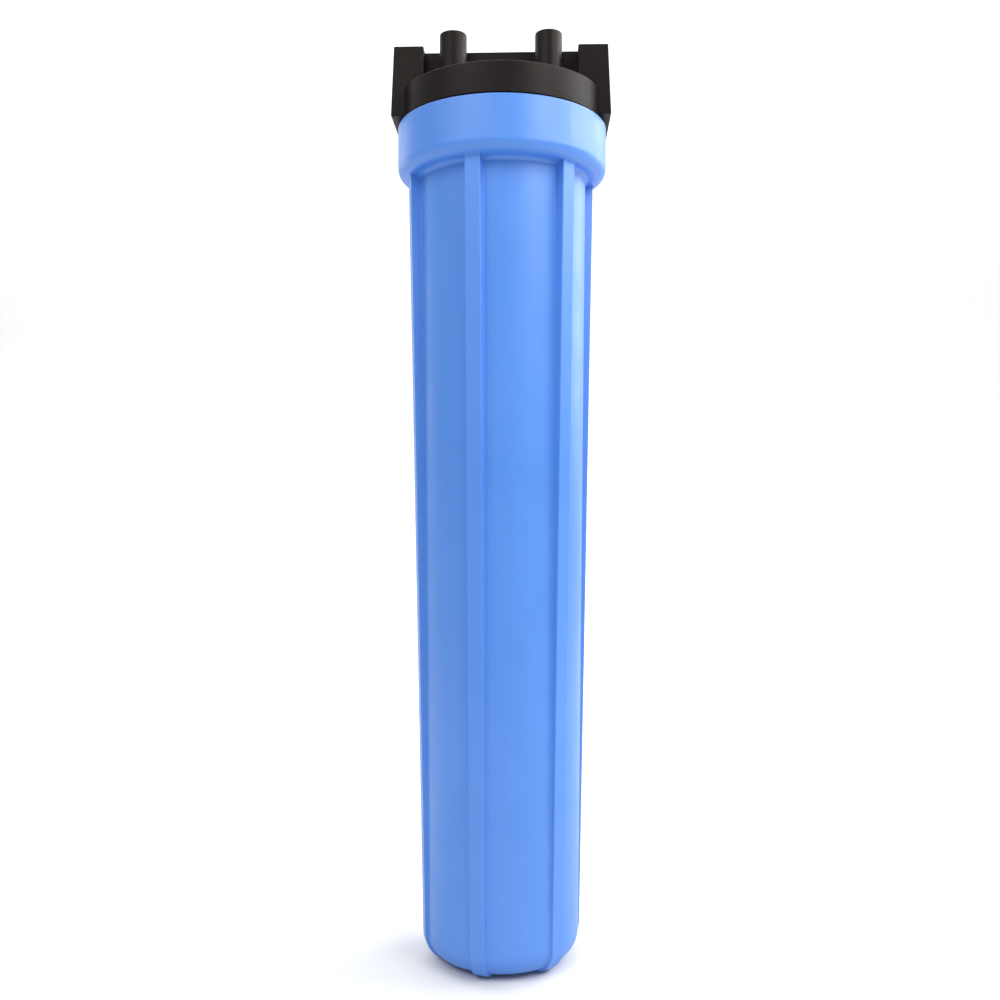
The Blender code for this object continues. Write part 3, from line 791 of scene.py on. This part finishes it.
# ---------------------------------------------------------------- pieces
make_piece("sump_shell", sump_mesh(), sump_blue, "sump", ("sump",))
make_piece("head_body", head_mesh(), head_black, "head", ("head_cap",))

first_turn = HEAD_Z - THREAD_TOP - THREAD_TURNS * THREAD_LEAD
ridge = helix("sump_thread_ridge", FEMALE_ROOT, FEMALE_CREST, first_turn, THREAD_LEAD, THREAD_TURNS,
              THREAD_BASE, THREAD_TIP)
ridge.transform(Matrix.Rotation(math.pi, 4, "Z"))  # half a turn on, so that it lies between the head's turns
make_piece("sump_thread_ridge", ridge, sump_blue, "sump", (), 50)
ridge = helix("head_thread_ridge", MALE_ROOT, MALE_CREST, first_turn, THREAD_LEAD, THREAD_TURNS,
              THREAD_BASE, THREAD_TIP)
make_piece("head_thread_ridge", ridge, head_black, "head", (), 50)

for side, word in ((-1, "inlet"), (1, "outlet")):
    ridge = helix(word + "_port_thread", PORT_R - 0.0002, PORT_R - 0.0013, 0, PORT_PITCH, PORT_TURNS,
                  0.0017, 0.0005, sink=0.0004, steps=48, fade=120)
    for corner in ridge.vertices:
        taper = 1 - PORT_TAPER * (1 - corner.co.z / (PORT_TURNS * PORT_PITCH))
        corner.co.x *= taper
        corner.co.y *= taper
    start = Matrix.Translation((side * (PORT_FACE - PORT_THREAD_DEPTH), 0, HEAD_Z + PORT_LEVEL))
    ridge.transform(start @ Matrix.Rotation(side * math.pi / 2, 4, "Y"))
    make_piece(word + "_port_thread", ridge, head_black, "head", (), 50)

shape = bmesh.new()
low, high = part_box("sump_o_ring")
section_r = (high[2] - low[2]) / 2
spun(shape, arc((high[0] - section_r, (low[2] + high[2]) / 2), section_r, 0, 345, 23), 128)
seal = to_mesh("sump_o_ring_seal", shape)
make_piece("sump_o_ring_seal", seal, seal_rubber, "sump", ("sump_o_ring",))


def ring_piece(node, profile, material, body="cartridge", segments=96):
    """A turned piece in place of one node. Heights in the profile start at the node's foot."""
    part = bmesh.new()
    spun(part, rounded(profile), segments, z=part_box(node)[0][2])
    return make_piece(node + "_moulding", to_mesh(node + "_moulding", part), material, body, (node,))


for node in ("bottom_gasket", "top_gasket"):
    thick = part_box(node)[1][2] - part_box(node)[0][2]
    dent = 0.0002  # pressed in by the knife edge
    ring_piece(node, [
        (CORE_BORE, 0, 0.0006),
        (KNIFE_R - 0.001, 0),
        (KNIFE_R, dent),
        (KNIFE_R + 0.001, 0),
        (CARTRIDGE_R - 0.0003, 0, 0.0006),
        (CARTRIDGE_R - 0.0003, thick, 0.0006),
        (KNIFE_R + 0.001, thick),
        (KNIFE_R, thick - dent),
        (KNIFE_R - 0.001, thick),
        (CORE_BORE, thick, 0.0006),
    ], gasket_foam)

CAP_WALL_IN = CARTRIDGE_R - CAP_WALL
for node, skirts in (("bottom_end_cap", (0, 1)), ("top_end_cap", (1, 0)), ("cartridge_joiner", (1, 1))):
    foot = CAP_SKIRT * skirts[0]
    head_side = foot + CAP_FLOOR
    outline = [(CORE_BORE, foot, 0.0005)]
    if skirts[0]:
        outline += [(CAP_WALL_IN, foot, 0.0004), (CAP_WALL_IN, 0, 0.0003), (CARTRIDGE_R, 0, 0.0003)]
    else:
        outline += [(0.0225, foot), (0.0229, foot + 0.0004), (0.0257, foot + 0.0004), (0.0261, foot),
                    (CARTRIDGE_R, foot, 0.0009)]
    if skirts[1]:
        top = head_side + CAP_SKIRT
        outline += [(CARTRIDGE_R, top, 0.0003), (CAP_WALL_IN, top, 0.0003), (CAP_WALL_IN, head_side, 0.0004)]
    else:
        outline += [(CARTRIDGE_R, head_side, 0.0009), (0.0261, head_side), (0.0257, head_side - 0.0004),
                    (0.0229, head_side - 0.0004), (0.0225, head_side)]
    outline += [(CORE_BORE, head_side, 0.0005)]
    ring_piece(node, outline, cap_white)


def pierced_tube(name, inner, outer, low, high, columns, rows, bar, hoop, corner):
    """A moulded tube with rows of round-cornered windows between its bars and hoops."""
    wide = FULL_TURN * outer / columns
    tall = (high - low - hoop) / rows
    steps = 13  # odd, so that the middle one of each quarter is the cell's own corner
    shape = bmesh.new()
    window = []
    cell = []
    for quarter, (side_x, side_y) in enumerate(((1, 1), (-1, 1), (-1, -1), (1, -1))):
        centre_x = side_x * ((wide - bar) / 2 - corner)
        centre_y = side_y * ((tall - hoop) / 2 - corner)
        for k in range(steps):
            share = k / (steps - 1)
            a = math.pi / 2 * (quarter + share)
            window.append((centre_x + corner * math.cos(a), centre_y + corner * math.sin(a)))
            turn = share if quarter % 2 == 0 else 1 - share
            x, y = min(1.0, 1.5 - turn), min(1.0, 0.5 + turn)
            cell.append((side_x * x * wide / 2, side_y * y * tall / 2))

    def spot(x, y, r, i, j):
        a = FULL_TURN * (i + 0.5) / columns + x / outer
        z = low + hoop / 2 + tall * (j + 0.5) + y
        if j == 0 and y <= -tall / 2 + 1e-9:
            z = low
        if j == rows - 1 and y >= tall / 2 - 1e-9:
            z = high
        return shape.verts.new((r * math.cos(a), r * math.sin(a), z))

    for i in range(columns):
        for j in range(rows):
            loops = []
            for r, points in ((outer, cell), (outer, window), (inner, window), (inner, cell)):
                loops.append([spot(x, y, r, i, j) for x, y in points])
            for first, second in zip(loops, loops[1:]):
                bridge(shape, first, second)
    bmesh.ops.remove_doubles(shape, verts=shape.verts, dist=WELD)
    middle = (low + high) / 2
    for above in (False, True):
        rims = [e for e in shape.edges if e.is_boundary and (e.verts[0].co.z > middle) == above]
        bmesh.ops.bridge_loops(shape, edges=rims)
    return to_mesh(name, shape)


def pleats(name, inner, outer, low, high, folds=44, sheet=0.00045):
    """Folded sheet, closed into a ring: rounded folds that lean a little and wander along their length."""
    shape = bmesh.new()
    per_fold = 16
    count = folds * per_fold
    levels = 18
    grid = []
    for j in range(levels + 1):
        z = low + (high - low) * j / levels
        points = []
        for i in range(count):
            t = i / per_fold
            phase = t % 1.0
            wave = abs(2 * phase - 1)
            fold = 0.55 * wave + 0.45 * (0.5 - 0.5 * math.cos(math.pi * wave))
            crest = outer - 0.00035 - 0.0005 * (0.5 + 0.5 * math.sin(int(t) * 2.4 + j * 0.55))
            valley = inner + 0.0006
            r = valley + (crest - valley) * fold
            a = FULL_TURN * t / folds + 0.010 * math.sin(int(t + 0.5) * 1.7 + j * 0.4) * fold
            if wave > 0.5:
                a += (0.5 - phase) * 0.018
            points.append(Vector((r * math.cos(a), r * math.sin(a), z)))
        rows = ([], [])
        for i, point in enumerate(points):
            along = points[(i + 1) % count] - points[i - 1]
            normal = Vector((along.y, -along.x, 0)).normalized()
            rows[0].append(shape.verts.new(point + normal * sheet / 2))
            rows[1].append(shape.verts.new(point - normal * sheet / 2))
        grid.append(rows)
    for lower, upper in zip(grid, grid[1:]):
        for side in (0, 1):
            bridge(shape, lower[side], upper[side])
    for ends in (grid[0], grid[-1]):
        bridge(shape, ends[0], ends[1])
    return to_mesh(name, shape)


for level in ("lower", "upper"):
    node = level + "_core"
    low, high = (corner[2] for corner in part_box(node))
    mesh = pierced_tube(node + "_tube", CORE_BORE, CORE_BORE + CORE_WALL, low, high, 6, 4, 0.006, 0.012, 0.0025)
    make_piece(node + "_tube", mesh, core_white, "cartridge", (node,))
    node = level + "_cage"
    low, high = (corner[2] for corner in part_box(node))
    mesh = pierced_tube(node + "_sleeve", CAGE_OUT - CAGE_WALL, CAGE_OUT, low, high, 12, 3, 0.004, 0.008, 0.002)
    make_piece(node + "_sleeve", mesh, cage_white, "cartridge", (node,))
    node = level + "_pleat_pack"
    low, high = (corner[2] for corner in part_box(node))
    mesh = pleats(node + "_folds", CORE_BORE + CORE_WALL + 0.0003, CAGE_OUT - CAGE_WALL - 0.0004, low, high)
    make_piece(node + "_folds", mesh, pleat_fabric, "cartridge", (node,), 60)

# ---------------------------------------------------------------- stage, light and camera
SWEEP_HALF = 9.0  # the paper's half width, and its reach in front
SWEEP_BEND = 0.8  # radius of its bend up behind the part
SWEEP_FLAT = 1.4  # where the bend starts
shape = bmesh.new()
outline = [(-SWEEP_HALF, 0.0), (-2.0, 0.0), (SWEEP_FLAT, 0.0)]
for a in (math.radians(degrees) for degrees in range(6, 91, 6)):
    outline.append((SWEEP_FLAT + SWEEP_BEND * math.sin(a), SWEEP_BEND - SWEEP_BEND * math.cos(a)))
outline.append((SWEEP_FLAT + SWEEP_BEND, 3.2))
rows = [[shape.verts.new((x, y, z)) for x in (-SWEEP_HALF, SWEEP_HALF)] for y, z in outline]
for a, b in zip(rows, rows[1:]):
    shape.faces.new((a[0], a[1], b[1], b[0]))
sweep_mesh = to_mesh("studio_sweep", shape)
for face in sweep_mesh.polygons:
    face.use_smooth = True
sweep = bpy.data.objects.new("studio_sweep", sweep_mesh)
bpy.context.scene.collection.objects.link(sweep)
paper, tree, shader, at = new_material("studio_paper", 0.9, 0.1)
tint = ramp(tree, noise(tree, at, 6, 3), 0.3, 0.7, 0, 1)
tree.links.new(blended(tree, tint, (0.68, 0.68, 0.68), (0.71, 0.71, 0.71)), shader.inputs["Base Color"])
sweep_mesh.materials.append(paper)


def area_light(name, at, toward, size, power):
    data = bpy.data.lights.new(name, "AREA")
    data.shape = "RECTANGLE"
    data.size, data.size_y = size
    data.energy = power
    item = bpy.data.objects.new(name, data)
    item.location = at
    item.rotation_euler = (Vector(toward) - Vector(at)).to_track_quat("-Z", "Y").to_euler()
    bpy.context.scene.collection.objects.link(item)


area_light("key_front_right", (0.8, -0.72, 1.15), (0, 0, 0.56), (0.7, 0.7), 10)
area_light("key_side", (1.28, 0.05, 1.2), (0, 0, 0.6), (0.8, 0.7), 13.8)
area_light("rim_left", (-1.1, 0.9, 0.8), (0, 0, 0.4), (0.5, 1.2), 3)
area_light("rim_right", (1.1, 0.78, 0.95), (0, 0, 0.5), (0.6, 1.1), 8.5)
area_light("fill_front", (-0.75, -1.1, 1.55), (0, 0, 0.62), (1.3, 0.9), 15.8)
area_light("overhead", (0, 0.2, 2.4), (0, 0.2, 0), (2.2, 2.2), 2)
area_light("paper_wash", (0, 0.8, 2.6), (0, 2.2, 0.9), (4.6, 0.8), 88)

world = bpy.data.worlds.new("studio_air")
world.use_nodes = True
world.node_tree.nodes["Background"].inputs["Color"].default_value = (1, 1, 1, 1)
world.node_tree.nodes["Background"].inputs["Strength"].default_value = 0.42
bpy.context.scene.world = world
bpy.context.scene.view_settings.view_transform = "Standard"

camera_data = bpy.data.cameras.new("camera")
camera_data.sensor_width = 36
camera_data.lens = 37.95
camera_data.clip_start = 0.01
camera_data.clip_end = 50
camera = bpy.data.objects.new("camera", camera_data)
camera.location = (0.0200, -0.6632, 0.2845)
camera.rotation_euler = (math.pi / 2, 0, 0.032)
bpy.context.scene.collection.objects.link(camera)
bpy.context.scene.camera = camera
